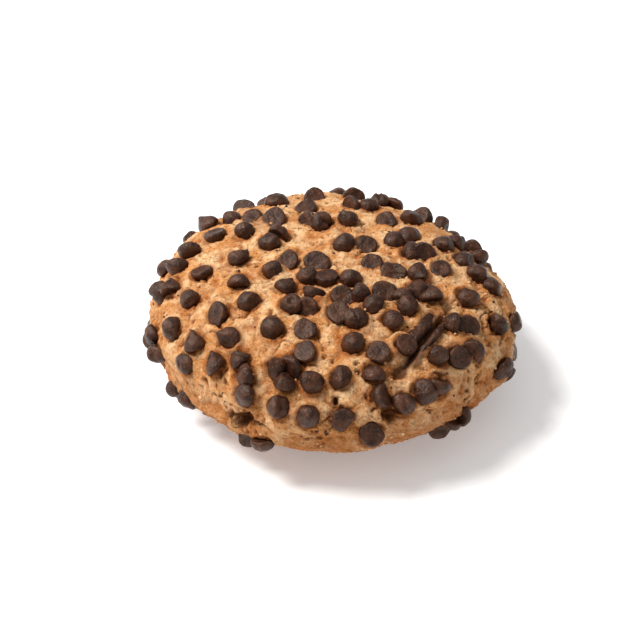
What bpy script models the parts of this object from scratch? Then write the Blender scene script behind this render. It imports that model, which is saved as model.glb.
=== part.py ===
"""Chocolate chip cookie: a tall domed body of dough with small drop-shaped chocolate chips
standing out of its whole surface, and two broken pieces of a larger chunk on the right.

Units are metres and +Z is up. The origin is the centre of the flat underside, and the front
of the cookie faces -Y. Sizes below are in millimetres and are turned into metres at the end.
"""

import math
import random

import bpy
import bmesh
import numpy as np
from mathutils import Matrix, Vector, noise

MM = 0.001

# The body of dough.
DOUGH_RADIUS = 55.0
DOUGH_HEIGHT = 41.0
WAIST_HEIGHT = 15.8          # height of the widest level
FOOT_RADIUS = 34.0           # radius of the flat underside
DOME_SIDE_POWER = 2.95       # 2 is an ellipse, and more makes the shoulder squarer
DOME_TOP_POWER = 2.67
UNDERCUT_POWER = 1.3         # how the side curves in from the waist to the underside
PLAN_WAVES = ((2, 0.004, -0.024), (3, 0.009, -0.002), (4, 0.012, -0.010))
BROAD_LUMPS = (15.0, 1.2)    # spacing and depth of the dough's lumps
FINE_LUMPS = (6.5, 0.5)
LEVEL_HEIGHT = 6.0           # the lumps fade out below this height, so that the foot is flat

SEGMENTS = 48
RINGS = 26
UNDERSIDE_RINGS = 3
ROUNDING = 0.0001            # numbers closer than this are the same

# A chocolate chip: a turned drop with a flat round base.
CHIP_RADIUS = 3.6
CHIP_HEIGHT = 5.0
CHIP_CENTRE = 2.1            # height of a chip's own origin above its base
CHIP_SIDES = 8
CHIP_SIZE_SPREAD = 0.08
CHIP_LEAN = 7.0             # degrees by which a chip may lean from the angle given for it
GAP = 0.3                    # between a chip and its socket in the dough

# Where the chips sit: (across, along, tilt, heading). Across and along are millimetres over
# the surface from the crown, to the right and to the back. A tilt is 0 with the tip out, 90
# with the chip on its side and 180 with its base out. A heading is the way the tip leans, in
# degrees counter-clockwise from the right.
CHIPS = (
    (-17, 38, 75, 270), (-24, 27, 150, 90), (-17, 24, 140, 90), (-35, 18, 172, 270),
    (-6, 22, 125, 50), (18, -5, 142, 90), (-12.5, -1, 145, 90), (-4, -1, 148, 90),
    (3.5, -18, 155, 90), (15.5, -15, 152, 90), (-7, -31, 160, 90), (-7, -39, 178, 0),
    (13.5, -38.5, 178, 0), (3.5, -58, 178, 0), (-38.5, 30, 10, 160), (5, 22, 20, 170),
    (-52, 12, 20, 90), (-31, 29, 25, 200), (19, 25, 145, 60), (-25.5, 15.5, 100, 280),
    (-15, 14, 75, 60), (4, 8, 15, 180), (40.5, 15, 45, 20), (-27, 1, 95, 280),
    (-38.5, -2, 160, 250), (-48.5, -3.5, 60, 80), (25.5, -6.5, 60, 300), (-18, -6, 60, 200),
    (-27, -9.5, 60, 80), (-43, -12.5, 40, 250), (6, -10.5, 35, 270), (28, -14.5, 50, 100),
    (38.5, -12.5, 35, 185), (-13, -14, 70, 50), (49, -18.5, 110, 250), (-24, -19.5, 20, 0),
    (-33, -22.5, 140, 30), (-49.5, -20.5, 30, 150), (7, -28, 25, 270), (-16.5, -31, 40, 290),
    (-41.5, -29.5, 60, 80), (37, -34.5, 160, 100), (6, -36.5, 35, 250), (-35, -38.5, 65, 105),
    (-5.5, -48.5, 40, 265), (27.5, -48, 40, 200), (-26, -49.5, 30, 180), (-15, -54.5, 25, 300),
    (21.5, -53.2, 30, 250), (-7, -57.5, 20, 270),
)
LYING_LIFT = 0.3             # of a chip's centre above the dough, on its side
TIP_OUT_LIFT = 0.9           # how much more with its tip out, and less with its base out
BACK_CHIPS = 6               # more lying chips, spread evenly round the back
BACK_DIRECTIONS = (35.0, 145.0)
BACK_DISTANCES = (68.0, 58.0)
BACK_TURN = 100.0            # from each one's heading to the next one's

# The broken chunk: two slabs sunk in the dough, side by side, with a slit between them.
SLIT_HEADING = 61.0
SLAB_LIFT = -1.3
LEFT_SLAB = {"place": (26.0, -27.6), "half_size": (2.2, 7.5, 1.9)}
RIGHT_SLAB = {"place": (29.8, -30.1), "half_size": (1.2, 8.5, 2.4)}
SLAB_SHAPE_POWER = 2.6       # 2 is an ellipsoid, and more makes the slabs' edges squarer
SLAB_SEGMENTS = 12
SLAB_RINGS = 6

DOUGH_COLOUR = (0.65, 0.34, 0.16, 1.0)
CHOCOLATE_COLOUR = (0.045, 0.022, 0.018, 1.0)


def clear_scene():
    """Remove the objects that the scene starts with."""
    for thing in list(bpy.data.objects):
        bpy.data.objects.remove(thing, do_unlink=True)


def new_collection(name):
    """A new collection, linked to the scene."""
    collection = bpy.data.collections.new(name)
    bpy.context.scene.collection.children.link(collection)
    return collection


def food_material(name, colour, roughness):
    """A plain food surface."""
    material = bpy.data.materials.new(name)
    material.use_nodes = True
    shader = material.node_tree.nodes["Principled BSDF"]
    shader.inputs["Base Color"].default_value = colour
    shader.inputs["Roughness"].default_value = roughness
    shader.inputs["Metallic"].default_value = 0.0
    material.diffuse_color = colour
    return material


def side_curve(steps=300):
    """The smooth side from the crown to the foot: distance along it, radius and height."""
    angle = np.linspace(0.0, math.pi / 2, steps)
    dome_radius = DOUGH_RADIUS * np.sin(angle) ** (2 / DOME_SIDE_POWER)
    dome_rise = (DOUGH_HEIGHT - WAIST_HEIGHT) * np.cos(angle) ** (2 / DOME_TOP_POWER)
    fall = np.linspace(0.0, 1.0, steps)[1:]
    under_radius = DOUGH_RADIUS - (DOUGH_RADIUS - FOOT_RADIUS) * fall ** UNDERCUT_POWER
    radius = np.concatenate((dome_radius, under_radius))
    height = np.concatenate((WAIST_HEIGHT + dome_rise, WAIST_HEIGHT * (1 - fall)))
    pieces = np.hypot(np.diff(radius), np.diff(height))
    distance = np.concatenate(([0.0], np.cumsum(pieces)))
    return distance, radius, height


SIDE_DISTANCE, SIDE_RADIUS, SIDE_HEIGHT = side_curve()
SIDE_LENGTH = float(SIDE_DISTANCE[-1])


def plan_factor(heading):
    """How far the outline bulges or draws in, in the direction of a heading in radians."""
    factor = 1.0
    for waves, cosine, sine in PLAN_WAVES:
        factor += cosine * math.cos(waves * heading) + sine * math.sin(waves * heading)
    return factor


def smooth_point(across, along):
    """The smooth body's point at a place on its surface."""
    distance = math.hypot(across, along)
    heading = math.atan2(along, across)
    radius = float(np.interp(distance, SIDE_DISTANCE, SIDE_RADIUS)) * plan_factor(heading)
    height = float(np.interp(distance, SIDE_DISTANCE, SIDE_HEIGHT))
    return Vector((radius * math.cos(heading), radius * math.sin(heading), height))


def surface_frame(across, along, step=0.5):
    """The lumpy body's point at a place, the direction out of it, and the direction right."""
    point = smooth_point(across, along)
    rightward = smooth_point(across + step, along) - smooth_point(across - step, along)
    backward = smooth_point(across, along + step) - smooth_point(across, along - step)
    outward = rightward.cross(backward).normalized()
    rightward = (rightward - outward * rightward.dot(outward)).normalized()
    return point + outward * lump_height(point), outward, rightward


def lump_height(point):
    """How far the dough stands out of the smooth body at a point on it."""
    height = 0.0
    for spacing, depth in (BROAD_LUMPS, FINE_LUMPS):
        height += depth * noise.noise(point / spacing)
    return height * min(1.0, point.z / LEVEL_HEIGHT)


def make_dough(collection, material):
    """The body: a sphere whose rings are laid along the side curve and then over the underside."""
    bm = bmesh.new()
    bmesh.ops.create_uvsphere(bm, u_segments=SEGMENTS, v_segments=RINGS, radius=1.0)
    foot_share = 1.0 - UNDERSIDE_RINGS / RINGS
    for vert in bm.verts:
        heading = math.atan2(vert.co.y, vert.co.x)
        share = math.acos(max(-1.0, min(1.0, vert.co.z))) / math.pi
        distance = SIDE_LENGTH * min(1.0, share / foot_share)
        across = distance * math.cos(heading)
        along = distance * math.sin(heading)
        if share > foot_share + ROUNDING:
            shrink = (1.0 - share) / (1.0 - foot_share)
            rim = smooth_point(across, along)
            vert.co = Vector((rim.x * shrink, rim.y * shrink, 0.0))
        else:
            vert.co = surface_frame(across, along)[0]
        vert.co *= MM
    underside = [face for face in bm.faces if max(vert.co.z for vert in face.verts) < ROUNDING * MM]
    bmesh.ops.dissolve_faces(bm, faces=underside)
    mesh = bpy.data.meshes.new("dough")
    bm.to_mesh(mesh)
    bm.free()
    mesh.shade_smooth()
    dough = bpy.data.objects.new("dough", mesh)
    dough.data.materials.append(material)
    collection.objects.link(dough)
    return dough


def chip_profile():
    """Half of a chip's outline, from the tip down to the middle of the base, as a mesh."""
    outline = (
        (0.0, CHIP_HEIGHT),
        (0.36 * CHIP_RADIUS, 0.80 * CHIP_HEIGHT),
        (0.81 * CHIP_RADIUS, 0.52 * CHIP_HEIGHT),
        (CHIP_RADIUS, 0.20 * CHIP_HEIGHT),
        (0.86 * CHIP_RADIUS, 0.0),
        (0.0, 0.0),
    )
    points = [(radius * MM, 0.0, (height - CHIP_CENTRE) * MM) for radius, height in outline]
    edges = [(index, index + 1) for index in range(len(points) - 1)]
    mesh = bpy.data.meshes.new("chip_profile")
    mesh.from_pydata(points, edges, [])
    return mesh


def turn_profile(thing):
    """Turn a profile round its Z axis into a closed solid."""
    screw = thing.modifiers.new("turned", "SCREW")
    screw.steps = CHIP_SIDES
    screw.render_steps = CHIP_SIDES
    screw.use_merge_vertices = True
    screw.merge_threshold = 0.00001
    screw.use_smooth_shade = True


def set_pose(thing, place, tilt, heading, lift):
    """Sit a thing at a place on the dough, with its Z axis tilted from straight out to a heading.

    At no tilt its Y axis points along the heading.
    """
    point, outward, rightward = surface_frame(*place)
    backward = outward.cross(rightward)
    level = rightward * math.cos(heading) + backward * math.sin(heading)
    axis = outward * math.cos(tilt) + level * math.sin(tilt)
    side = level.cross(outward).normalized()
    third = axis.cross(side)
    rotation = Matrix((side, third, axis)).transposed()
    thing.rotation_euler = rotation.to_euler()
    thing.location = (point + outward * lift) * MM


def grown(scale, half_size):
    """The scale that makes a thing of this half-size larger by the gap."""
    return scale * (half_size + GAP) / half_size


def add_chip(name, collection, sockets, mesh, pose, draw):
    """One chip, a little larger or smaller than the next, and the cutter of its socket."""
    place, tilt, heading, lift = pose
    tilt += draw.uniform(-CHIP_LEAN, CHIP_LEAN)
    heading += draw.uniform(-CHIP_LEAN, CHIP_LEAN)
    width = 1.0 + draw.uniform(-CHIP_SIZE_SPREAD, CHIP_SIZE_SPREAD)
    height = 1.0 + draw.uniform(-CHIP_SIZE_SPREAD, CHIP_SIZE_SPREAD)
    chip = bpy.data.objects.new(name, mesh)
    cutter = bpy.data.objects.new(name + "_socket", mesh)
    chip.scale = (width, width, height)
    grown_width = grown(width, CHIP_RADIUS)
    cutter.scale = (grown_width, grown_width, grown(height, CHIP_HEIGHT / 2))
    for thing in (chip, cutter):
        set_pose(thing, place, math.radians(tilt), math.radians(heading), lift)
        turn_profile(thing)
    collection.objects.link(chip)
    sockets.objects.link(cutter)
    hide_cutter(cutter)


def hide_cutter(cutter):
    """Show a cutter as wires only."""
    cutter.hide_render = True
    cutter.display_type = "WIRE"


def chip_poses():
    """Each chip's place, tilt, heading and lift."""
    for across, along, tilt, heading in CHIPS:
        lift = LYING_LIFT + TIP_OUT_LIFT * math.cos(math.radians(tilt))
        yield (across, along), tilt, heading, lift
    for number in range(BACK_CHIPS):
        share = number / (BACK_CHIPS - 1)
        direction = math.radians(BACK_DIRECTIONS[0] * (1 - share) + BACK_DIRECTIONS[1] * share)
        distance = BACK_DISTANCES[number % len(BACK_DISTANCES)]
        place = (distance * math.cos(direction), distance * math.sin(direction))
        yield place, 90.0, number * BACK_TURN, LYING_LIFT


def slab_mesh(name, half_size, growth):
    """A long flat rounded slab, from a sphere pushed out towards a box."""
    bm = bmesh.new()
    bmesh.ops.create_uvsphere(bm, u_segments=SLAB_SEGMENTS, v_segments=SLAB_RINGS, radius=1.0)
    for vert in bm.verts:
        total = sum(abs(value) ** SLAB_SHAPE_POWER for value in vert.co)
        vert.co /= total ** (1 / SLAB_SHAPE_POWER)
        for axis in range(3):
            vert.co[axis] *= (half_size[axis] + growth) * MM
    mesh = bpy.data.meshes.new(name)
    bm.to_mesh(mesh)
    bm.free()
    mesh.shade_smooth()
    return mesh


def add_slab(name, collection, sockets, material, slab):
    """One slab of the broken chunk and the cutter of its socket."""
    cutter_name = name + "_socket"
    solid = bpy.data.objects.new(name, slab_mesh(name, slab["half_size"], 0.0))
    cutter = bpy.data.objects.new(cutter_name, slab_mesh(cutter_name, slab["half_size"], GAP))
    for thing in (solid, cutter):
        set_pose(thing, slab["place"], 0.0, math.radians(SLIT_HEADING), SLAB_LIFT)
    solid.data.materials.append(material)
    collection.objects.link(solid)
    sockets.objects.link(cutter)
    hide_cutter(cutter)


def cut_sockets(dough, sockets):
    """Take the sockets out of the dough."""
    cut = dough.modifiers.new("sockets", "BOOLEAN")
    cut.operation = "DIFFERENCE"
    cut.operand_type = "COLLECTION"
    cut.collection = sockets
    cut.solver = "EXACT"


def main():
    clear_scene()
    cookie = new_collection("chocolate_chip_cookie")
    sockets = new_collection("chip_sockets")
    dough_material = food_material("baked_dough", DOUGH_COLOUR, 0.8)
    chocolate = food_material("dark_chocolate", CHOCOLATE_COLOUR, 0.45)
    dough = make_dough(cookie, dough_material)
    profile = chip_profile()
    profile.materials.append(chocolate)
    draw = random.Random(5)
    for number, pose in enumerate(chip_poses(), start=1):
        add_chip(f"chip_{number:02d}", cookie, sockets, profile, pose, draw)
    add_slab("chunk_left", cookie, sockets, chocolate, LEFT_SLAB)
    add_slab("chunk_right", cookie, sockets, chocolate, RIGHT_SLAB)
    cut_sockets(dough, sockets)


main()
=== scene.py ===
"""The looks of a tall chocolate chip cookie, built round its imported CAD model.

Lengths are in millimetres until a mesh is made, which is in metres like the frame. A place on
the dough is (across, along): the distance over its surface from the crown, to the right and to
the back. A heading is counter-clockwise from the right, in degrees.
"""

import math
import random

import bpy
import bmesh
import numpy as np
from mathutils import Matrix, Vector, noise


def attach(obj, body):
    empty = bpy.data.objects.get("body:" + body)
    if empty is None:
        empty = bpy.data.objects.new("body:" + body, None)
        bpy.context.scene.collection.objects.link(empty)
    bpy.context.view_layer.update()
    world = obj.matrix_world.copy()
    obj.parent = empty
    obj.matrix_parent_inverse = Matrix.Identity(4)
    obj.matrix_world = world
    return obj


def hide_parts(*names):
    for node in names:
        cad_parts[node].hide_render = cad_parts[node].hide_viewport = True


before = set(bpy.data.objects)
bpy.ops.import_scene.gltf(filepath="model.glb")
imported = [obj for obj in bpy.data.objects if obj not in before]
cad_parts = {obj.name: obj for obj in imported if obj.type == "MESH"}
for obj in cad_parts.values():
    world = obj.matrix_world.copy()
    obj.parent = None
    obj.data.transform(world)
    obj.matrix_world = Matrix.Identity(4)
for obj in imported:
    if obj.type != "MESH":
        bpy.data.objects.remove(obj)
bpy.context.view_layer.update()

MM = 0.001
BODY = "root"

# The dough's smooth body and its broad lumps, as in the CAD model.
DOUGH_RADIUS = 55.0
DOUGH_HEIGHT = 41.0
WAIST_HEIGHT = 15.8
FOOT_RADIUS = 34.0
DOME_SIDE_POWER = 2.95
DOME_TOP_POWER = 2.67
UNDERCUT_POWER = 1.3
PLAN_WAVES = ((2, 0.004, -0.024), (3, 0.009, -0.002), (4, 0.012, -0.010))
CAD_LUMPS = ((15.0, 1.2), (6.5, 0.5))
LEVEL_HEIGHT = 6.0           # the relief fades out below this height

# The dough's own mesh, and its fine relief. Each crumb wave is (spacing, height).
GRID_CUTS = 127              # along each edge of the cube that the mesh starts from
FOOT_EDGE = 1.6              # radius of the rounded edge of the underside
DETAIL_PULL = 0.33           # how far the mesh is denser towards the front and the top
LOW_SIDE_START = 70.0        # distance from the crown to where the mesh begins to thin
LOW_SIDE_DENSITY = 0.8
UNDERSIDE_DENSITY = 0.3
BEND_SPACING = 4.0           # of the noise that bends the pillows and ledges
PILLOW_BEND = 1.8
LEDGE_BEND = 1.0
PILLOW_SPACING = 11.0        # soft pillows with creases between them
PILLOW_HEIGHT = 1.3
PILLOW_TOP = 0.35            # noise above this is level pillow
PILLOW_ROUNDNESS = 0.65      # below 1 the creases are sharp and the pillows round
PILLOW_MIDDLE = 0.34         # the level that neither rises nor sinks
CRUMB_WAVES = ((4.2, 0.24), (2.3, 0.18), (1.4, 0.20), (0.9, 0.20))
LEDGE_SPACING = 2.6          # torn ledges
LEDGE_HEIGHT = 0.24
TORN_SPACING = 1.2           # a ragged collar round each chip
TORN_HEIGHT = 0.65
PORE_SPACING = 1.45
PORE_DEPTH = 0.6
PORE_PATCHES = 7.0           # spacing of the patches that have pores
CRACK_SPACING = 6.5
CRACK_WIDTH = 0.06
CRACK_DEPTH = 0.6
CRACK_PATCHES = 19.0         # spacing of the patches that have cracks
UNDERSIDE_ROUGHNESS = 0.35   # the underside's relief, as a share of the crumb's
FOOT_RELIEF = 0.12           # the share of the fine relief that is left at the foot

# Hollows that show: place, half-length, half-width, heading of the length, depth.
HOLLOWS = (
    ((-29.6, -57.0), 4.4, 3.0, 12, 5.5),
    ((-24.2, -58.6), 3.2, 1.5, 350, 2.0),
    ((-34.0, -54.6), 2.4, 1.2, 30, 2.0),
    ((1.3, -53.5), 1.2, 0.8, 80, 3.4),
    ((20.5, -43.5), 3.8, 2.6, 20, 2.2),
    ((17.3, -55.0), 4.6, 2.8, 300, 2.8),
    ((7.0, -42.3), 1.0, 0.7, 20, 1.2),
    ((7.2, -45.0), 0.9, 0.8, 0, 1.2),
    ((45.5, -37.5), 2.0, 0.9, 80, 1.4),
    ((43.5, -35.0), 1.2, 0.8, 20, 1.2),
    ((-17.3, -25.0), 1.8, 0.8, 80, 1.2),
    ((-10.3, 4.0), 3.0, 2.0, 30, 1.5),
    ((29.0, -8.6), 2.4, 1.2, 200, 1.2),
)
SLIT_START = (21.8, -41.2)
SLIT_END = (31.8, -22.4)
SLIT_WIDTH = 0.75
SLIT_DEPTH = 3.6
SLIT_WANDER = 0.5            # how far the slit strays from a straight line
SMEAR_REACH = 4.6            # how far from the slit chocolate smears the dough
CREASE_END = (35.0, -16.0)   # a shallow crease goes on from the slit to here
CREASE_DEPTH = 1.1
CREASE_WIDTH = 0.7
RIDGE_OFFSET = 1.9           # a ridge runs along the slit's right side
RIDGE_HEIGHT = 0.5
RIDGE_WIDTH = 1.1

# A chip's turned outline, from the tip to the middle of the base: radius and height as
# shares of the chip's own radius and height.
CHIP_OUTLINE = (
    (0.0, 1.0), (0.16, 0.98), (0.31, 0.93), (0.49, 0.84), (0.68, 0.71), (0.84, 0.55),
    (0.95, 0.38), (1.0, 0.21), (0.985, 0.09), (0.91, 0.015), (0.78, 0.0), (0.4, 0.02),
    (0.0, 0.03),
)
CHIP_SEGMENTS = 26
CHIP_RINGS = 17
CHIP_RADIUS = 3.6
CHIP_HEIGHT = 5.0
CHIP_CENTRE = 2.1            # height of a chip's own origin above its base
CHIP_DENTS = 3
DENT_DEPTHS = (0.1, 0.75)
GROOVE_DEPTHS = (0.3, 0.8)
GROOVE_WIDTH = 0.4
TIP_BEND = 1.3               # how far sideways a tip can be bent
NEST_RISE = (0.25, 0.9)      # how high the dough rises on one side of a chip
NEST_GAPE = (0.3, 1.2)       # how deep it gapes on the other side
NEST_SINK = 0.8              # how far it sinks under the chip

# Chips that show and have no CAD node: (across, along, tilt, heading). A tilt is 0 with the
# tip out, 90 on its side and 180 with the base out.
SHOWN_CHIPS = (
    (-28, 41, 120, 100), (-5, 40, 120, 100), (8, 43, 100, 90), (7.5, 33, 100, 40),
    (13, 32, 60, 300), (16, 40, 30, 200), (22, 40.5, 60, 60), (-7.5, 31, 165, 90), (-18, 9, 20, 0),
    (-2, 19, 60, 330), (26.5, 26.5, 50, 250), (31.5, 33, 110, 30), (38, 30, 60, 320),
    (11.5, 9, 145, 90), (20, 10, 40, 270), (24.5, 14.5, 30, 150), (23.5, 3.5, 60, 250),
    (27.6, 4.3, 120, 90), (34.5, 9.5, 50, 270), (47, 19, 90, 60), (46.5, 10.5, 110, 300),
    (40, 4, 40, 250), (43.5, -1, 30, 270), (12, -2, 150, 90), (32, -2.5, 165, 60),
    (-42.5, 11, 120, 270), (-46.5, 5, 110, 260), (-7, -9.5, 45, 270), (-1, -9, 172, 270),
    (-54, -1.5, 45, 180), (48, -4.5, 40, 300), (9.3, -18, 80, 330), (20.3, -16.5, 60, 80),
    (24, -13, 60, 200), (21.8, -21, 45, 270), (12, -22.3, 30, 190), (2, -25.6, 168, 90),
    (17.3, -26.8, 30, 170), (57, -12, 45, 320), (-61, -14, 35, 200), (-61.5, -21.5, 40, 230),
    (-46.5, -34.5, 50, 250), (-30, -32.5, 35, 200), (34, -24.5, 100, 180), (39, -23.2, 140, 80),
    (21.3, -35, 170, 200), (31.3, -36.8, 60, 330), (41.2, -31, 120, 60), (56.5, -29.5, 40, 330),
    (-25.3, -44.4, 60, 200), (-26.8, -39, 60, 120), (-15.6, -42.8, 40, 150), (-11, -42.5, 120, 60),
    (-13, -47, 60, 70), (2.8, -47, 30, 280), (12.2, -44.8, 60, 90), (14, -51.5, 130, 200),
    (32.2, -45.4, 110, 275), (13, -62.8, 150, 280), (-24.5, -66, 40, 270), (-34.5, -66, 120, 200),
    (-57, -43.5, 90, 310), (43, -58.5, 110, 340), (49.5, -50.5, 90, 40), (46.5, -54.8, 60, 300),
    (-62.5, -35.5, 90, 300), (-11.8, -22.3, 30, 200), (-6, -22.6, 120, 60),
    (-5.2, -16.3, 130, 250),
)
SHOWN_SIZES = (0.92, 1.06)
LYING_LIFT = 0.3             # of a chip's centre above the dough, on its side
TIP_OUT_LIFT = 0.9           # how much more with its tip out, and less with its base out
POINTED_NODES = ("chip_15", "chip_16", "chip_26", "chip_32", "chip_41", "chip_44")
POINTED_SHARE = 0.1          # of the other chips
POINTED_PEAK = (1.08, 1.18)  # a tip's height, as a share of the chip's
BLUNT_PEAK = (0.80, 0.97)
CREASED_SHARE = 0.35         # of all the chips

# More chips where the photograph's view doesn't reach.
HIDDEN_FACING = -0.20        # 1 faces the camera, 0 is edge on and -1 faces away
HIDDEN_CHIP_TRIES = 2600
HIDDEN_TILTS = (20, 35, 50, 60, 90, 100, 120, 150, 175)
HIDDEN_SIZES = (0.9, 1.08)
CHIP_SPACING = 8.2
LOWEST_HIDDEN_CHIP = 6.5     # the height of its centre
UNDERSIDE_CHIPS = 11
UNDERSIDE_REACH = 0.86       # of the foot's radius
UNDERSIDE_SIZES = (0.9, 1.05)
UNDERSIDE_BASE = -0.3        # height of their bases, which are then pressed flat at 0
GOLDEN_ANGLE = 137.5         # from each one's direction to the next one's, in degrees
CHUNK_CUTS = 3
CHUNK_WAVES = ((3.2, 0.45), (1.2, 0.2))    # the chunk's relief: (spacing, height)
CRUMBS = 300
CRUMB_SIZES = (0.22, 0.6)
SPECKS = 330
SPECK_SIZES = (0.18, 0.6)

# Colours of the dough, the chocolate, the loose crumbs and the floor.
PALE_GRAIN = (0.93, 0.69, 0.43)
CREAM = (0.90, 0.565, 0.285)
GOLD = (0.68, 0.275, 0.072)
TAN = (0.58, 0.195, 0.036)
# Painted shade in the small pores.
HOLE_SHADE = (0.40, 0.135, 0.030)
# Painted shade in the crumb's lows.
SHADE_IN_LOWS = (0.38, 0.097, 0.012)
# Towards the foot and rim: the bake's browning with painted shade.
BAKE_AND_SHADE_BROWN = (0.36, 0.112, 0.023)
# Round the chips: golden-brown staining with painted shade.
NEST_STAIN_AND_SHADE = (0.34, 0.085, 0.012)
# Painted shade in the pits: pores, cracks and hollows.
PIT_SHADE = (0.13, 0.038, 0.009)
SMEAR_BROWN = (0.11, 0.045, 0.022)
SPECK_BROWN = (0.09, 0.036, 0.016)
CHOCOLATE_DARK = (0.020, 0.0045, 0.0012)
CHOCOLATE_LIGHT = (0.076, 0.0240, 0.0100)
CHOCOLATE_SCUFF = (0.21, 0.115, 0.078)
CRUMB_ON_CHOCOLATE = (0.42, 0.21, 0.09)
CRUMB_PALE = (0.74, 0.46, 0.23)
CRUMB_BROWN = (0.50, 0.24, 0.09)
FLOOR_WHITE = (0.93, 0.93, 0.93, 1.0)
FLOOR_GLOW = 0.22

FLOOR_SIZE = 60.0            # in metres, like the next value
FLOOR_DROP = 0.0002          # of the floor below the cookie's underside

CAMERA_ELEVATION = 38.0
CAMERA_DISTANCE = 450.0
CAMERA_LENS = 82.5
SENSOR_WIDTH = 36.0
CAMERA_TARGET_HEIGHT = 20.0
CAMERA_AIM_LEFT = 3.07       # the cookie stands a little right of the frame's middle
CAMERA_AIM_DOWN = 1.2

KEY_PLACE = (-0.62, 0.10, 0.92)    # in metres, like the next two values
KEY_AIM = (0.0, 0.0, 0.02)
KEY_SIZE = 0.50
KEY_POWER = 17.0
KEY_COLOUR = (1.0, 0.985, 0.96)
SURROUNDING = 0.52


# ---------------------------------------------------------------- the dough's shape


def side_curve(steps=400):
    """The section from the crown, down the side and in over the underside to its middle."""
    angle = np.linspace(0.0, math.pi / 2, steps)
    dome_radius = DOUGH_RADIUS * np.sin(angle) ** (2 / DOME_SIDE_POWER)
    dome_rise = (DOUGH_HEIGHT - WAIST_HEIGHT) * np.cos(angle) ** (2 / DOME_TOP_POWER)
    fall = np.linspace(0.0, 1.0, steps)[1:]
    under_radius = DOUGH_RADIUS - (DOUGH_RADIUS - FOOT_RADIUS) * fall ** UNDERCUT_POWER
    floor_radius = np.linspace(FOOT_RADIUS, 0.0, steps)[1:]
    radius = np.concatenate((dome_radius, under_radius, floor_radius))
    side_height = np.concatenate((WAIST_HEIGHT + dome_rise, WAIST_HEIGHT * (1 - fall)))
    height = np.concatenate((side_height, np.zeros(len(floor_radius))))
    distance = np.concatenate(([0.0], np.cumsum(np.hypot(np.diff(radius), np.diff(height)))))
    return distance, radius, height


SIDE_DISTANCE, SIDE_RADIUS, SIDE_HEIGHT = side_curve()
WHOLE_LENGTH = float(SIDE_DISTANCE[-1])
SIDE_LENGTH = WHOLE_LENGTH - FOOT_RADIUS


def plan_factor(heading):
    """How far the outline bulges or draws in, in the direction of each heading in radians."""
    factor = np.ones_like(heading)
    for waves, cosine, sine in PLAN_WAVES:
        factor = factor + cosine * np.cos(waves * heading) + sine * np.sin(waves * heading)
    return factor


def section_at(distance):
    """Radius and height at each distance from the crown, with the foot's edge rounded."""
    reach = FOOT_EDGE * np.clip(2.5 - np.abs(distance - SIDE_LENGTH) / FOOT_EDGE, 0.0, 1.0)
    radius = 0.0
    height = 0.0
    for share in (-1.0, -0.5, 0.0, 0.5, 1.0):
        radius = radius + np.interp(distance + share * reach, SIDE_DISTANCE, SIDE_RADIUS) / 5
        height = height + np.interp(distance + share * reach, SIDE_DISTANCE, SIDE_HEIGHT) / 5
    return radius, height


def smooth_points(across, along):
    """The smooth body's points at places on its surface."""
    heading = np.arctan2(along, across)
    radius, height = section_at(np.hypot(across, along))
    radius = radius * plan_factor(heading)
    return np.stack((radius * np.cos(heading), radius * np.sin(heading), height), axis=-1)


def unit(vectors):
    """Vectors made one long."""
    length = np.linalg.norm(vectors, axis=-1, keepdims=True)
    return vectors / np.maximum(length, 1e-9)


def outward_directions(across, along, step=0.4):
    """The directions out of the smooth body at places on its surface."""
    rightward = smooth_points(across + step, along) - smooth_points(across - step, along)
    backward = smooth_points(across, along + step) - smooth_points(across, along - step)
    outward = unit(np.cross(rightward, backward))
    outward[np.hypot(across, along) > SIDE_LENGTH + 2 * FOOT_EDGE] = (0.0, 0.0, -1.0)
    return outward


def noise_at(points, spacing, shift=0.0):
    """Smooth noise, about -1 to 1, at each point."""
    return np.array([noise.noise(point) for point in (points / spacing + shift).tolist()])


def ease(low, high, values):
    """A smooth step from 0 at low to 1 at high."""
    share = np.clip((values - low) / (high - low), 0.0, 1.0)
    return share * share * (3.0 - 2.0 * share)


def cad_lumps(points):
    """The broad lumps that the CAD model has too."""
    height = 0.0
    for spacing, depth in CAD_LUMPS:
        height = height + depth * noise_at(points, spacing)
    return height * np.clip(points[:, 2] / LEVEL_HEIGHT, 0.0, 1.0)


def crumb_relief(points):
    """The crumb's height, and its pits, which get painted shade: soft pillows, lumps, torn ledges,
    pores and cracks.
    """
    bend = np.stack([noise_at(points, BEND_SPACING, shift) for shift in (1, 4, 7)], axis=-1)
    pillow = np.abs(noise_at(points + PILLOW_BEND * bend, PILLOW_SPACING, 71.0))
    height = PILLOW_HEIGHT * (np.minimum(pillow, PILLOW_TOP) ** PILLOW_ROUNDNESS - PILLOW_MIDDLE)
    for number, (spacing, depth) in enumerate(CRUMB_WAVES):
        height += depth * noise_at(points, spacing, 11.0 + number)
    ledge = noise_at(points + LEDGE_BEND * bend, LEDGE_SPACING, 83.0)
    height += LEDGE_HEIGHT * (ease(-0.06, 0.06, ledge) - 0.5)
    open_crumb = ease(-0.15, 0.35, noise_at(points, PORE_PATCHES, 9.0))
    pores = ease(0.22, 0.48, noise_at(points, PORE_SPACING, 8.0)) * open_crumb
    height -= PORE_DEPTH * pores
    wander = np.abs(noise_at(points, CRACK_SPACING, 31.0) + 0.15 * noise_at(points, 1.9, 5.0))
    cracked = ease(0.1, 0.35, noise_at(points, CRACK_PATCHES, 2.0))
    cracks = ease(CRACK_WIDTH, 0.2 * CRACK_WIDTH, wander) * cracked
    height -= CRACK_DEPTH * cracks
    return height, np.maximum(0.8 * pores, 0.5 * cracks)


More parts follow.
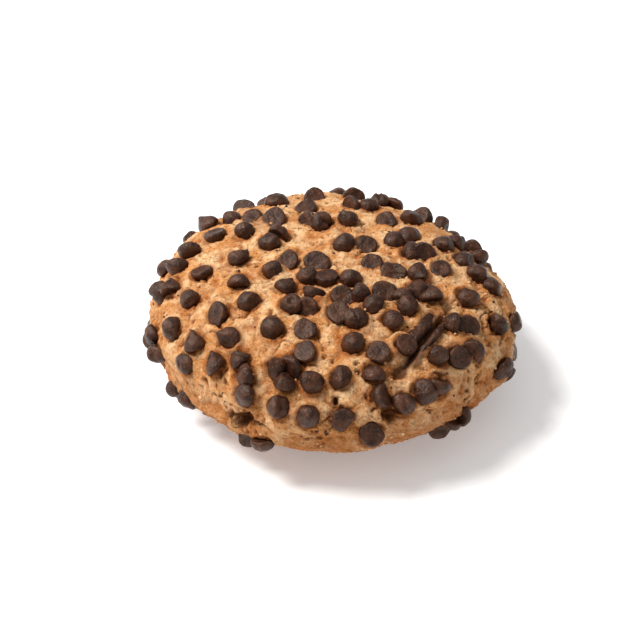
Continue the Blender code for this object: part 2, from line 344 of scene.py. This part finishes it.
def hollow_depths(across, along, points):
    """How deep each point lies in the hollows that show."""
    depth = np.zeros(len(points))
    ragged = 0.45 * noise_at(points, 2.4, 17.0) + 0.2 * noise_at(points, 1.1, 18.0)
    for (middle_across, middle_along), half_length, half_width, heading, deep in HOLLOWS:
        turn = math.radians(heading)
        east = across - middle_across
        north = along - middle_along
        lengthwise = (east * math.cos(turn) + north * math.sin(turn)) / half_length
        crosswise = (north * math.cos(turn) - east * math.sin(turn)) / half_width
        inside = ease(1.2, 0.45, np.hypot(lengthwise, crosswise) + ragged)
        depth = np.maximum(depth, deep * inside)
    return depth


def beside_line(across, along, start, end):
    """Distance to the right of a line, and the share of the way along it."""
    run = np.subtract(end, start)
    length = float(np.hypot(*run))
    east = across - start[0]
    north = along - start[1]
    share = (east * run[0] + north * run[1]) / length ** 2
    rightward = (east * run[1] - north * run[0]) / length
    return rightward, share


def slit_relief(across, along, points):
    """The slit, the ridge on its right and the crease beyond it, and where the dough is painted dark:
    chocolate smears by the slit, and a dark line along the crease.
    """
    rightward, share = beside_line(across, along, SLIT_START, SLIT_END)
    rightward = rightward + SLIT_WANDER * noise_at(points, 4.0, 23.0)
    ends = ease(-0.04, 0.06, share) * ease(1.06, 0.92, share)
    height = -SLIT_DEPTH * ends * np.exp(-(rightward / SLIT_WIDTH) ** 2)
    height += RIDGE_HEIGHT * ends * np.exp(-((rightward - RIDGE_OFFSET) / RIDGE_WIDTH) ** 2)
    smear = ends * ease(SMEAR_REACH, 3.0, np.abs(rightward + 0.8))
    crease_right, crease_share = beside_line(across, along, SLIT_END, CREASE_END)
    crease_ends = ease(-0.2, 0.1, crease_share) * ease(1.1, 0.6, crease_share)
    crease_right = crease_right + 0.4 * noise_at(points, 2.0)
    crease = crease_ends * np.exp(-(crease_right / CREASE_WIDTH) ** 2)
    height -= CREASE_DEPTH * crease
    return height, np.maximum(smear, 0.45 * crease)


def chip_nests(points, chips):
    """How the dough rises and gapes round each chip, and how close each point is to a chip, which
    sets the staining and painted shade round it.
    """
    height = np.zeros(len(points))
    chip_closeness = np.zeros(len(points))
    draw = random.Random(21)
    for chip in chips:
        near = np.linalg.norm(points - chip["centre"], axis=1) < 3.0 * CHIP_RADIUS
        away = points[near] - chip["centre"]
        outside = np.linalg.norm(away, axis=1) - 0.95 * chip["radius"]
        open_side = Vector((draw.gauss(0.5, 1.0), draw.gauss(-0.6, 1.0), draw.gauss(0, 0.5)))
        facing = 0.5 + 0.5 * unit(away) @ np.array(open_side.normalized())
        rise = draw.uniform(*NEST_RISE) * (1.0 - facing) * np.exp(-((outside - 0.7) / 0.9) ** 2)
        gape = draw.uniform(*NEST_GAPE) * facing ** 2 * np.exp(-((outside - 0.1) / 0.55) ** 2)
        height[near] += rise - gape - NEST_SINK * ease(-0.2, -1.2, outside)
        chip_closeness[near] = np.maximum(chip_closeness[near], ease(1.5, 0.0, outside))
    return height, chip_closeness


def cube_sphere():
    """Faces and points of a sphere whose faces are all much the same size, from a cut-up cube."""
    bm = bmesh.new()
    bmesh.ops.create_cube(bm, size=2.0)
    bmesh.ops.subdivide_edges(bm, edges=bm.edges[:], cuts=GRID_CUTS, use_grid_fill=True)
    bm.verts.index_update()
    mesh = bpy.data.meshes.new("dough")
    bm.to_mesh(mesh)
    bm.free()
    flat = np.empty(len(mesh.vertices) * 3)
    mesh.vertices.foreach_get("co", flat)
    cube = flat.reshape(-1, 3)
    square = cube ** 2
    x, y, z = square.T
    ball = np.empty_like(cube)
    ball[:, 0] = cube[:, 0] * np.sqrt(1 - y / 2 - z / 2 + y * z / 3)
    ball[:, 1] = cube[:, 1] * np.sqrt(1 - z / 2 - x / 2 + z * x / 3)
    ball[:, 2] = cube[:, 2] * np.sqrt(1 - x / 2 - y / 2 + x * y / 3)
    return mesh, ball


def spread_over_dough(ball):
    """Lay a sphere's points over the dough, thinner on the underside: their places."""
    middle = (SIDE_DISTANCE[1:] + SIDE_DISTANCE[:-1]) / 2
    density = np.where(middle < LOW_SIDE_START, 1.0, LOW_SIDE_DENSITY)
    density = np.where(middle > SIDE_LENGTH + 3.0, UNDERSIDE_DENSITY, density)
    radius = (SIDE_RADIUS[1:] + SIDE_RADIUS[:-1]) / 2
    area = np.concatenate(([0.0], np.cumsum(density * radius * np.diff(SIDE_DISTANCE))))
    share = (1.0 - ball[:, 2]) / 2
    distance = np.interp(share, area / area[-1], SIDE_DISTANCE)
    heading = np.arctan2(ball[:, 1], ball[:, 0])
    return distance * np.cos(heading), distance * np.sin(heading)


def set_attribute(mesh, name, values):
    """Give each point of a mesh a number that its material reads."""
    attribute = mesh.attributes.new(name, "FLOAT", "POINT")
    attribute.data.foreach_set("value", np.asarray(values, dtype=np.float32))


def make_dough(chips, flush_chips):
    """The dough's fine surface, which replaces the CAD body."""
    mesh, ball = cube_sphere()
    ball = unit(ball + DETAIL_PULL * towards_camera())
    across, along = spread_over_dough(ball)
    smooth = smooth_points(across, along)
    outward = outward_directions(across, along)
    lumpy = smooth + outward * cad_lumps(smooth)[:, None]
    crumb, pits = crumb_relief(smooth)
    hollow = hollow_depths(across, along, smooth)
    slit, smear = slit_relief(across, along, smooth)
    nests, chip_closeness = chip_nests(lumpy, chips)
    torn = TORN_HEIGHT * chip_closeness * noise_at(smooth, TORN_SPACING, 91.0)
    fine = crumb + nests + torn + slit - hollow
    above_foot = ease(0.2, LEVEL_HEIGHT, smooth[:, 2])
    fine = fine * (FOOT_RELIEF + (1.0 - FOOT_RELIEF) * above_foot)
    points = lumpy + outward * fine[:, None]
    under = smooth[:, 2] < 0.05
    points[under, 2] = underside_height(points[under], crumb[under], flush_chips)
    points[:, 2] = np.maximum(points[:, 2], 0.0)
    mesh.vertices.foreach_set("co", (points * MM).ravel())
    mesh.shade_smooth()
    # Painted shade in colour: darker in the crumb's lows.
    set_attribute(mesh, "low", ease(0.15, -0.9, crumb))
    # Painted shade in the pores, cracks and hollows.
    set_attribute(mesh, "pit", np.maximum(pits, ease(0.3, 2.0, hollow)))
    paint_dough(mesh, across, along, smooth, smear, chip_closeness)
    mesh.update()
    piece = add_piece("dough_crumb", mesh, dough_material())
    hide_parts("dough")


def underside_height(points, crumb, flush_chips):
    """The underside's height at each point: nearly flat, and drawn up over the flush chips."""
    height = np.maximum(0.0, -UNDERSIDE_ROUGHNESS * np.minimum(crumb + 0.35, 0.0))
    return height + underside_sockets(points, flush_chips)


def paint_dough(mesh, across, along, smooth, smear, chip_closeness):
    """Where the dough is smeared with chocolate, stained and painted with shade round the chips, and
    browner towards its foot and rim from the bake and painted shade.
    """
    patchy = 0.5 + 0.5 * noise_at(smooth, 6.0, 41.0)
    smudge = ease(0.28, 0.75, noise_at(smooth, 11.0, 53.0)) * ease(0.3, 0.8, patchy)
    set_attribute(mesh, "smear", np.clip(smear + 0.35 * smudge, 0.0, 1.0))
    # Round the chips: golden-brown staining with painted shade.
    set_attribute(mesh, "nest", chip_closeness * np.clip(0.4 + patchy, 0.0, 1.0))
    # Towards the foot and rim: the bake's browning with painted shade.
    foot = ease(33.0, 8.0, smooth[:, 2])
    rim = 0.30 * ease(25.0, 62.0, np.hypot(across, along))
    patches = 0.3 * noise_at(smooth, 9.0, 61.0)
    set_attribute(mesh, "bake_and_shade", np.clip(np.maximum(foot, rim) + patches, 0.0, 1.0))


# ---------------------------------------------------------------- the chips


def read_node(name):
    """A CAD node's points and triangles' corners, in millimetres."""
    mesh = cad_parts[name].data
    flat = np.empty(len(mesh.vertices) * 3)
    mesh.vertices.foreach_get("co", flat)
    mesh.calc_loop_triangles()
    corners = np.empty(len(mesh.loop_triangles) * 3, dtype=np.int64)
    mesh.loop_triangles.foreach_get("vertices", corners)
    points = flat.reshape(-1, 3) / MM
    return points, points[corners.reshape(-1, 3)]


def chip_from_node(name):
    """A CAD chip's base, axis, radius and height: its base is its largest flat face."""
    points, corners = read_node(name)
    crossed = np.cross(corners[:, 1] - corners[:, 0], corners[:, 2] - corners[:, 0])
    area = np.linalg.norm(crossed, axis=1) / 2
    facing = unit(crossed)
    alike = facing @ facing.T > 0.999
    base_faces = alike[np.argmax(alike @ area)]
    weight = area * base_faces
    base = (corners.mean(axis=1) * weight[:, None]).sum(axis=0) / weight.sum()
    axis = -unit((facing * weight[:, None]).sum(axis=0))
    along_axis = (points - base) @ axis
    from_axis = np.linalg.norm(points - base - along_axis[:, None] * axis, axis=1)
    chip = chip_record(base, axis, float(from_axis.max()), float(along_axis.max()))
    chip["pointed"] = name in POINTED_NODES
    return chip


def chip_record(base, axis, radius, height):
    """What is known of a chip."""
    share = CHIP_CENTRE / CHIP_HEIGHT
    return {"base": base, "axis": axis, "radius": radius, "height": height,
            "centre": base + axis * height * share, "pointed": False}


def chip_at(across, along, tilt, heading, size, extra_lift=0.0):
    """A chip at a place on the dough."""
    lift = LYING_LIFT + TIP_OUT_LIFT * math.cos(math.radians(tilt)) + extra_lift
    place = np.array([across]), np.array([along])
    smooth = smooth_points(*place)
    outward = outward_directions(*place)[0]
    point = smooth[0] + outward * cad_lumps(smooth)[0] + outward * lift
    rightward = smooth_points(place[0] + 0.5, place[1])[0] - smooth[0]
    rightward = unit(rightward - outward * (rightward @ outward))
    backward = np.cross(outward, rightward)
    turn = math.radians(heading)
    level = rightward * math.cos(turn) + backward * math.sin(turn)
    lean = math.radians(tilt)
    axis = outward * math.cos(lean) + level * math.sin(lean)
    base = point - axis * CHIP_CENTRE * size
    return chip_record(base, axis, CHIP_RADIUS * size, CHIP_HEIGHT * size)


def towards_camera():
    """The direction from the cookie to the camera."""
    elevation = math.radians(CAMERA_ELEVATION)
    return np.array((0.0, -math.cos(elevation), math.sin(elevation)))


def hidden_chips(taken):
    """Chips over the part of the side and back that the camera doesn't see."""
    draw = random.Random(8)
    centres = [chip["centre"] for chip in taken]
    found = []
    for _ in range(HIDDEN_CHIP_TRIES):
        distance = draw.uniform(30.0, SIDE_LENGTH - 3.0)
        heading = draw.uniform(-math.pi, math.pi)
        across = distance * math.cos(heading)
        along = distance * math.sin(heading)
        outward = outward_directions(np.array([across]), np.array([along]))[0]
        tilt = draw.choice(HIDDEN_TILTS)
        turn = draw.uniform(0, 360)
        size = draw.uniform(*HIDDEN_SIZES)
        if outward @ towards_camera() > HIDDEN_FACING:
            continue
        chip = chip_at(across, along, tilt, turn, size, draw.uniform(-0.5, 0.3))
        if min(np.linalg.norm(chip["centre"] - centre) for centre in centres) < CHIP_SPACING:
            continue
        if chip["centre"][2] < LOWEST_HIDDEN_CHIP:
            continue
        centres.append(chip["centre"])
        found.append(chip)
    return found


def underside_chips():
    """Chips whose bases lie flush in the underside."""
    draw = random.Random(15)
    found = []
    for number in range(UNDERSIDE_CHIPS):
        heading = number * math.radians(GOLDEN_ANGLE)
        distance = UNDERSIDE_REACH * FOOT_RADIUS * math.sqrt((number + 0.5) / UNDERSIDE_CHIPS)
        across = distance * math.cos(heading)
        along = distance * math.sin(heading)
        base = np.array((across, along, UNDERSIDE_BASE))
        size = draw.uniform(*UNDERSIDE_SIZES)
        up = np.array((0.0, 0.0, 1.0))
        found.append(chip_record(base, up, CHIP_RADIUS * size, CHIP_HEIGHT * size))
    return found


def underside_sockets(points, flush_chips):
    """How far the underside draws up over the chips that lie flush in it."""
    height = np.zeros(len(points))
    for chip in flush_chips:
        away = np.linalg.norm(points[:, :2] - chip["base"][:2], axis=1)
        height = np.maximum(height, ease(chip["radius"] + 0.3, chip["radius"] - 0.6, away))
    return height


def chip_template():
    """Faces of a chip, and each point's direction round it and share of the way down it."""
    bm = bmesh.new()
    bmesh.ops.create_uvsphere(bm, u_segments=CHIP_SEGMENTS, v_segments=CHIP_RINGS, radius=1.0)
    ball = np.array([vert.co[:] for vert in bm.verts])
    faces = [[vert.index for vert in face.verts] for face in bm.faces]
    bm.free()
    turn = np.arctan2(ball[:, 1], ball[:, 0])
    share = np.arccos(np.clip(ball[:, 2], -1.0, 1.0)) / math.pi
    return faces, turn, share


def crease(depth, width, offset, sideways):
    """A groove's depth where a point is this far sideways of the chip's middle."""
    return depth * np.exp(-((sideways - offset) / width) ** 2)


def chip_points(chip, template, draw):
    """One chip's points: a drop with a bent tip, dents and perhaps a crease."""
    _, turn, share = template
    steps = np.linspace(0.0, 1.0, len(CHIP_OUTLINE))
    outline = np.array(CHIP_OUTLINE)
    wide = np.interp(share, steps, outline[:, 0])
    high = np.interp(share, steps, outline[:, 1])
    pointed = chip["pointed"] or draw.random() < POINTED_SHARE
    peak = draw.uniform(*(POINTED_PEAK if pointed else BLUNT_PEAK))
    if pointed:
        wide = wide * (1.0 - 0.42 * ease(0.45, 1.0, high))
    high = np.where(high > 0.5, 0.5 + (high - 0.5) * (peak - 0.5) / 0.5, high)
    oval = draw.uniform(0.9, 1.1)
    shape = np.stack((wide * np.cos(turn) * oval, wide * np.sin(turn) / oval, high), axis=-1)
    shape[:, :2] *= chip["radius"]
    shape[:, 2] *= chip["height"]
    bend = draw.uniform(0.0, TIP_BEND) * high ** 2
    bend_turn = draw.uniform(0, 2 * math.pi)
    shape[:, 0] += bend * math.cos(bend_turn)
    shape[:, 1] += bend * math.sin(bend_turn)
    middle = np.array((0.0, 0.0, 0.4 * chip["height"]))
    direction = unit(shape - middle)
    push = np.zeros(len(shape))
    for _ in range(CHIP_DENTS):
        towards = unit(np.array((draw.gauss(0, 1), draw.gauss(0, 1), draw.gauss(0.3, 0.6))))
        closeness = direction @ towards
        push += draw.uniform(*DENT_DEPTHS) * ease(0.6, 1.0, closeness)
    if draw.random() < CREASED_SHARE:
        sideways = shape[:, 0] * math.cos(bend_turn) + shape[:, 1] * math.sin(bend_turn)
        groove = crease(draw.uniform(*GROOVE_DEPTHS), GROOVE_WIDTH, draw.uniform(-1.5, 1.5), sideways)
        push += groove * (high > 0.05)
    shift = draw.uniform(0, 90)
    push -= 0.22 * noise_at(shape, 2.0, shift) + 0.10 * noise_at(shape, 0.9, shift)
    shape -= direction * push[:, None]
    side = unit(np.cross(chip["axis"], (0.31, 0.87, 0.38)))
    third = np.cross(chip["axis"], side)
    basis = np.stack((side, third, chip["axis"]))
    points = chip["base"] + shape @ basis
    points[:, 2] = np.maximum(points[:, 2], 0.0)
    return points


def joined_mesh(name, parts):
    """One mesh from parts that are each (points in millimetres, faces)."""
    points = []
    faces = []
    start = 0
    for part_points, part_faces in parts:
        points.append(part_points)
        faces.extend([start + corner for corner in face] for face in part_faces)
        start += len(part_points)
    mesh = bpy.data.meshes.new(name)
    mesh.from_pydata((np.concatenate(points) * MM).tolist(), [], faces)
    mesh.shade_smooth()
    mesh.update()
    return mesh


def add_piece(name, mesh, material):
    """A piece that rides on the body."""
    piece = bpy.data.objects.new(name, mesh)
    bpy.context.scene.collection.objects.link(piece)
    piece.data.materials.append(material)
    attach(piece, BODY)
    return piece


def make_chips(chips, nodes, material):
    """All the chips as one piece, which replaces the CAD chips."""
    template = chip_template()
    draw = random.Random(33)
    parts = [(chip_points(chip, template, draw), template[0]) for chip in chips]
    mesh = joined_mesh("chocolate_chips", parts)
    piece = add_piece("chocolate_chips", mesh, material)
    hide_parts(*nodes)


def make_chunk(material):
    """The broken chunk's two slabs, roughened from the CAD slabs."""
    nodes = ("chunk_left", "chunk_right")
    bm = bmesh.new()
    for node in nodes:
        bm.from_mesh(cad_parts[node].data)
    bmesh.ops.remove_doubles(bm, verts=bm.verts, dist=0.01 * MM)
    bmesh.ops.subdivide_edges(bm, edges=bm.edges[:], cuts=CHUNK_CUTS, use_grid_fill=True, smooth=0.6)
    bm.normal_update()
    for vert in bm.verts:
        rough = sum(depth * noise.noise(vert.co / (spacing * MM)) for spacing, depth in CHUNK_WAVES)
        vert.co += vert.normal * rough * MM
    mesh = bpy.data.meshes.new("chocolate_chunk")
    bm.to_mesh(mesh)
    bm.free()
    mesh.shade_smooth()
    piece = add_piece("chocolate_chunk", mesh, material)
    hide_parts(*nodes)


# ---------------------------------------------------------------- crumbs and specks


def scattered(count, seed, sizes, flatness, lift):
    """Small rough pieces strewn over the dough, as parts for a joined mesh."""
    bm = bmesh.new()
    bmesh.ops.create_icosphere(bm, subdivisions=2, radius=1.0)
    ball = np.array([vert.co[:] for vert in bm.verts])
    faces = [[vert.index for vert in face.verts] for face in bm.faces]
    bm.free()
    draw = random.Random(seed)
    parts = []
    for _ in range(count):
        distance = (SIDE_LENGTH - 4.0) * math.sqrt(draw.random())
        heading = draw.uniform(-math.pi, math.pi)
        place = np.array([distance * math.cos(heading)]), np.array([distance * math.sin(heading)])
        smooth = smooth_points(*place)
        outward = outward_directions(*place)[0]
        crumb = crumb_relief(smooth)[0][0]
        middle = smooth[0] + outward * (cad_lumps(smooth)[0] + crumb + lift)
        size = draw.uniform(*sizes)
        rough = 1.0 + 0.5 * noise_at(ball + 10.0 * draw.random(), 0.9)
        turn = Matrix.Rotation(draw.uniform(0, 6.3), 3, "Z")
        tumble = Matrix.Rotation(draw.uniform(0, 6.3), 3, "X")
        stretch = np.array((1.0, draw.uniform(0.6, 1.0), flatness))
        points = ball * rough[:, None] * stretch * size
        parts.append((points @ np.array(turn @ tumble) + middle, faces))
    return parts


# ---------------------------------------------------------------- materials


class Shader:
    """A short way to build a node material."""

    def __init__(self, name):
        self.material = bpy.data.materials.new(name)
        self.material.use_nodes = True
        self.tree = self.material.node_tree
        self.principled = self.tree.nodes["Principled BSDF"]
        coordinates = self.tree.nodes.new("ShaderNodeTexCoord")
        self.place = coordinates.outputs["Object"]

    def link(self, source, target):
        """Join an output to an input."""
        self.tree.links.new(source, target)

    def attribute(self, name):
        """A number that the mesh has at each point."""
        node = self.tree.nodes.new("ShaderNodeAttribute")
        node.attribute_name = name
        return node.outputs["Fac"]

    def noise(self, spacing, detail=3.0, roughness=0.55):
        """Noise whose lumps are about this many millimetres apart."""
        node = self.tree.nodes.new("ShaderNodeTexNoise")
        node.inputs["Scale"].default_value = 1.0 / (spacing * MM)
        node.inputs["Detail"].default_value = detail
        node.inputs["Roughness"].default_value = roughness
        self.link(self.place, node.inputs["Vector"])
        return node.outputs["Fac"]

    def cells(self, spacing):
        """The distance to the nearest of many dots, in their own spacing."""
        node = self.tree.nodes.new("ShaderNodeTexVoronoi")
        node.inputs["Scale"].default_value = 1.0 / (spacing * MM)
        self.link(self.place, node.inputs["Vector"])
        return node.outputs["Distance"]

    def range(self, value, low, high, to_low=0.0, to_high=1.0):
        """A value stretched from one range to another."""
        node = self.tree.nodes.new("ShaderNodeMapRange")
        node.inputs["From Min"].default_value = low
        node.inputs["From Max"].default_value = high
        node.inputs["To Min"].default_value = to_low
        node.inputs["To Max"].default_value = to_high
        self.link(value, node.inputs["Value"])
        return node.outputs["Result"]

    def times(self, first, second):
        """Two values multiplied."""
        return self.math("MULTIPLY", first, second)

    def math(self, operation, first, second):
        """One sum on two values, each an output or a number."""
        node = self.tree.nodes.new("ShaderNodeMath")
        node.operation = operation
        for socket, value in zip(node.inputs, (first, second)):
            if isinstance(value, float):
                socket.default_value = value
            else:
                self.link(value, socket)
        return node.outputs["Value"]

    def mix(self, share, first, second):
        """A share of the way from the first colour to the second."""
        node = self.tree.nodes.new("ShaderNodeMix")
        node.data_type = "RGBA"
        self.link(share, node.inputs["Factor"])
        for socket, value in ((node.inputs["A"], first), (node.inputs["B"], second)):
            if isinstance(value, tuple):
                socket.default_value = (*value, 1.0)
            else:
                self.link(value, socket)
        return node.outputs["Result"]

    def bump(self, height, depth):
        """Fine relief this many millimetres deep."""
        node = self.tree.nodes.new("ShaderNodeBump")
        node.inputs["Strength"].default_value = 1.0
        node.inputs["Distance"].default_value = depth * MM
        self.link(height, node.inputs["Height"])
        self.link(node.outputs["Normal"], self.principled.inputs["Normal"])

    def set(self, name, value):
        """Give one of the surface's inputs an output or a constant."""
        socket = self.principled.inputs[name]
        if hasattr(value, "is_linked"):
            self.link(value, socket)
        else:
            socket.default_value = value


def dough_material():
    """Cookie dough: cream and gold, with painted shade in its lows, pores and pits, golden-brown
    staining with painted shade round each chip, and browner towards its foot and rim from the bake
    and painted shade.
    """
    shader = Shader("baked_dough")
    broad = shader.range(shader.noise(6.0, 3.0), 0.43, 0.57)
    colour = shader.mix(broad, CREAM, GOLD)
    medium = shader.range(shader.noise(2.4, 4.0), 0.44, 0.64)
    colour = shader.mix(shader.times(medium, 0.6), colour, TAN)
    grain = shader.range(shader.noise(0.6, 3.0), 0.44, 0.68)
    colour = shader.mix(shader.times(grain, 0.5), colour, PALE_GRAIN)
    # Painted shade: darker in the crumb's lows.
    colour = shader.mix(shader.times(shader.attribute("low"), 0.85), colour, SHADE_IN_LOWS)
    # Round the chips: golden-brown staining with painted shade.
    colour = shader.mix(shader.times(shader.attribute("nest"), 0.8), colour, NEST_STAIN_AND_SHADE)
    # Towards the foot and rim: the bake's browning with painted shade.
    colour = shader.mix(shader.times(shader.attribute("bake_and_shade"), 0.8), colour, BAKE_AND_SHADE_BROWN)
    # Painted shade in small pores, where the bump below also sinks the surface.
    holes = shader.range(shader.noise(0.85, 2.0), 0.56, 0.66)
    colour = shader.mix(shader.times(holes, 0.45), colour, HOLE_SHADE)
    # Painted shade in the pores, cracks and hollows.
    colour = shader.mix(shader.times(shader.attribute("pit"), 0.85), colour, PIT_SHADE)
    specks = shader.range(shader.cells(1.5), 0.19, 0.12)
    rare = shader.range(shader.noise(3.1, 2.0), 0.56, 0.62)
    colour = shader.mix(shader.times(shader.times(specks, rare), 0.8), colour, SPECK_BROWN)
    colour = shader.mix(shader.times(shader.attribute("smear"), 0.85), colour, SMEAR_BROWN)
    shader.set("Base Color", colour)
    shader.set("Roughness", shader.range(shader.noise(1.3), 0.3, 0.7, 0.62, 0.86))
    shader.set("Specular IOR Level", 0.12)
    shader.set("Subsurface Weight", 0.1)
    shader.set("Subsurface Radius", (1.0, 0.5, 0.25))
    shader.set("Subsurface Scale", 1.0 * MM)
    fine = shader.math("ADD", shader.noise(0.5, 4.0, 0.65), shader.times(holes, -0.35))
    shader.bump(fine, 0.85)
    return shader.material


def chocolate_material():
    """Dark chocolate with a satin, patchy, slightly scuffed skin and a few crumbs on it."""
    shader = Shader("dark_chocolate")
    bloom = shader.range(shader.noise(2.6, 4.0), 0.40, 0.68)
    colour = shader.mix(bloom, CHOCOLATE_DARK, CHOCOLATE_LIGHT)
    scuff = shader.range(shader.noise(0.5, 4.0), 0.56, 0.74)
    colour = shader.mix(shader.times(scuff, 0.40), colour, CHOCOLATE_SCUFF)
    crumbs = shader.range(shader.cells(1.3), 0.13, 0.07)
    few = shader.range(shader.noise(4.0, 2.0), 0.60, 0.64)
    colour = shader.mix(shader.times(crumbs, few), colour, CRUMB_ON_CHOCOLATE)
    shader.set("Base Color", colour)
    shader.set("Roughness", shader.range(shader.noise(1.2), 0.3, 0.7, 0.31, 0.50))
    shader.set("Specular IOR Level", 0.36)
    shader.set("Specular Tint", (1.0, 0.84, 0.72, 1.0))
    large_dents = shader.times(shader.noise(1.6, 2.0), 2.0)
    shader.bump(shader.math("ADD", shader.noise(0.45, 4.0, 0.6), large_dents), 0.22)
    return shader.material


def crumb_material():
    """Loose dough crumbs, a little paler than the dough."""
    shader = Shader("dough_crumbs")
    patches = shader.range(shader.noise(1.5), 0.35, 0.65)
    shader.set("Base Color", shader.mix(patches, CRUMB_PALE, CRUMB_BROWN))
    shader.set("Roughness", 0.8)
    shader.bump(shader.noise(0.3, 3.0), 0.12)
    return shader.material


def floor_material():
    """A plain pale floor, which glows faintly so that its shadow stays soft."""
    shader = Shader("floor")
    shader.set("Base Color", FLOOR_WHITE)
    shader.set("Roughness", 0.9)
    shader.set("Emission Color", (1.0, 1.0, 1.0, 1.0))
    shader.set("Emission Strength", FLOOR_GLOW)
    return shader.material


# ---------------------------------------------------------------- the studio


def make_floor():
    """A wide pale floor under the cookie."""
    bpy.ops.mesh.primitive_plane_add(size=FLOOR_SIZE, location=(0.0, 0.0, -FLOOR_DROP))
    floor = bpy.context.object
    floor.name = "floor"
    floor.data.materials.append(floor_material())


def make_lights():
    """A soft round key light from the upper left, and a pale surrounding."""
    light = bpy.data.lights.new("key", "AREA")
    light.shape = "DISK"
    light.size = KEY_SIZE
    light.energy = KEY_POWER
    light.color = KEY_COLOUR
    key = bpy.data.objects.new("key", light)
    key.location = KEY_PLACE
    key.rotation_euler = (Vector(KEY_AIM) - Vector(KEY_PLACE)).to_track_quat("-Z", "Y").to_euler()
    bpy.context.scene.collection.objects.link(key)
    world = bpy.data.worlds.new("studio")
    world.use_nodes = True
    background = world.node_tree.nodes["Background"]
    background.inputs["Color"].default_value = (1.0, 1.0, 1.0, 1.0)
    background.inputs["Strength"].default_value = SURROUNDING
    bpy.context.scene.world = world
    bpy.context.scene.view_settings.view_transform = "Standard"


def make_camera():
    """The camera in front of the cookie, looking down on it."""
    back = Vector(towards_camera())
    up = Vector((0.0, back.z, -back.y))
    target = Vector((0.0, 0.0, CAMERA_TARGET_HEIGHT))
    aim = target - Vector((CAMERA_AIM_LEFT, 0.0, 0.0)) - up * CAMERA_AIM_DOWN
    lens = bpy.data.cameras.new("camera")
    lens.lens = CAMERA_LENS
    lens.sensor_width = SENSOR_WIDTH
    lens.clip_start = 0.01
    camera = bpy.data.objects.new("camera", lens)
    camera.location = (aim + back * CAMERA_DISTANCE) * MM
    camera.rotation_euler = (-back).to_track_quat("-Z", "Y").to_euler()
    bpy.context.scene.collection.objects.link(camera)
    bpy.context.scene.camera = camera


def main():
    """Build the cookie's pieces round the CAD model, and the studio."""
    chip_nodes = sorted(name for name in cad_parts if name.startswith("chip_"))
    chips = [chip_from_node(name) for name in chip_nodes]
    draw = random.Random(12)
    for across, along, tilt, heading in SHOWN_CHIPS:
        size = draw.uniform(*SHOWN_SIZES)
        chips.append(chip_at(across, along, tilt, heading, size))
    chips += hidden_chips(chips)
    chocolate = chocolate_material()
    flush_chips = underside_chips()
    make_dough(chips, flush_chips)
    make_chips(chips + flush_chips, chip_nodes, chocolate)
    make_chunk(chocolate)
    crumbs = scattered(CRUMBS, 71, CRUMB_SIZES, 0.8, 0.1)
    add_piece("dough_crumbs", joined_mesh("dough_crumbs", crumbs), crumb_material())
    specks = scattered(SPECKS, 72, SPECK_SIZES, 0.5, 0.08)
    add_piece("chocolate_specks", joined_mesh("chocolate_specks", specks), chocolate)
    make_floor()
    make_lights()
    make_camera()


main()
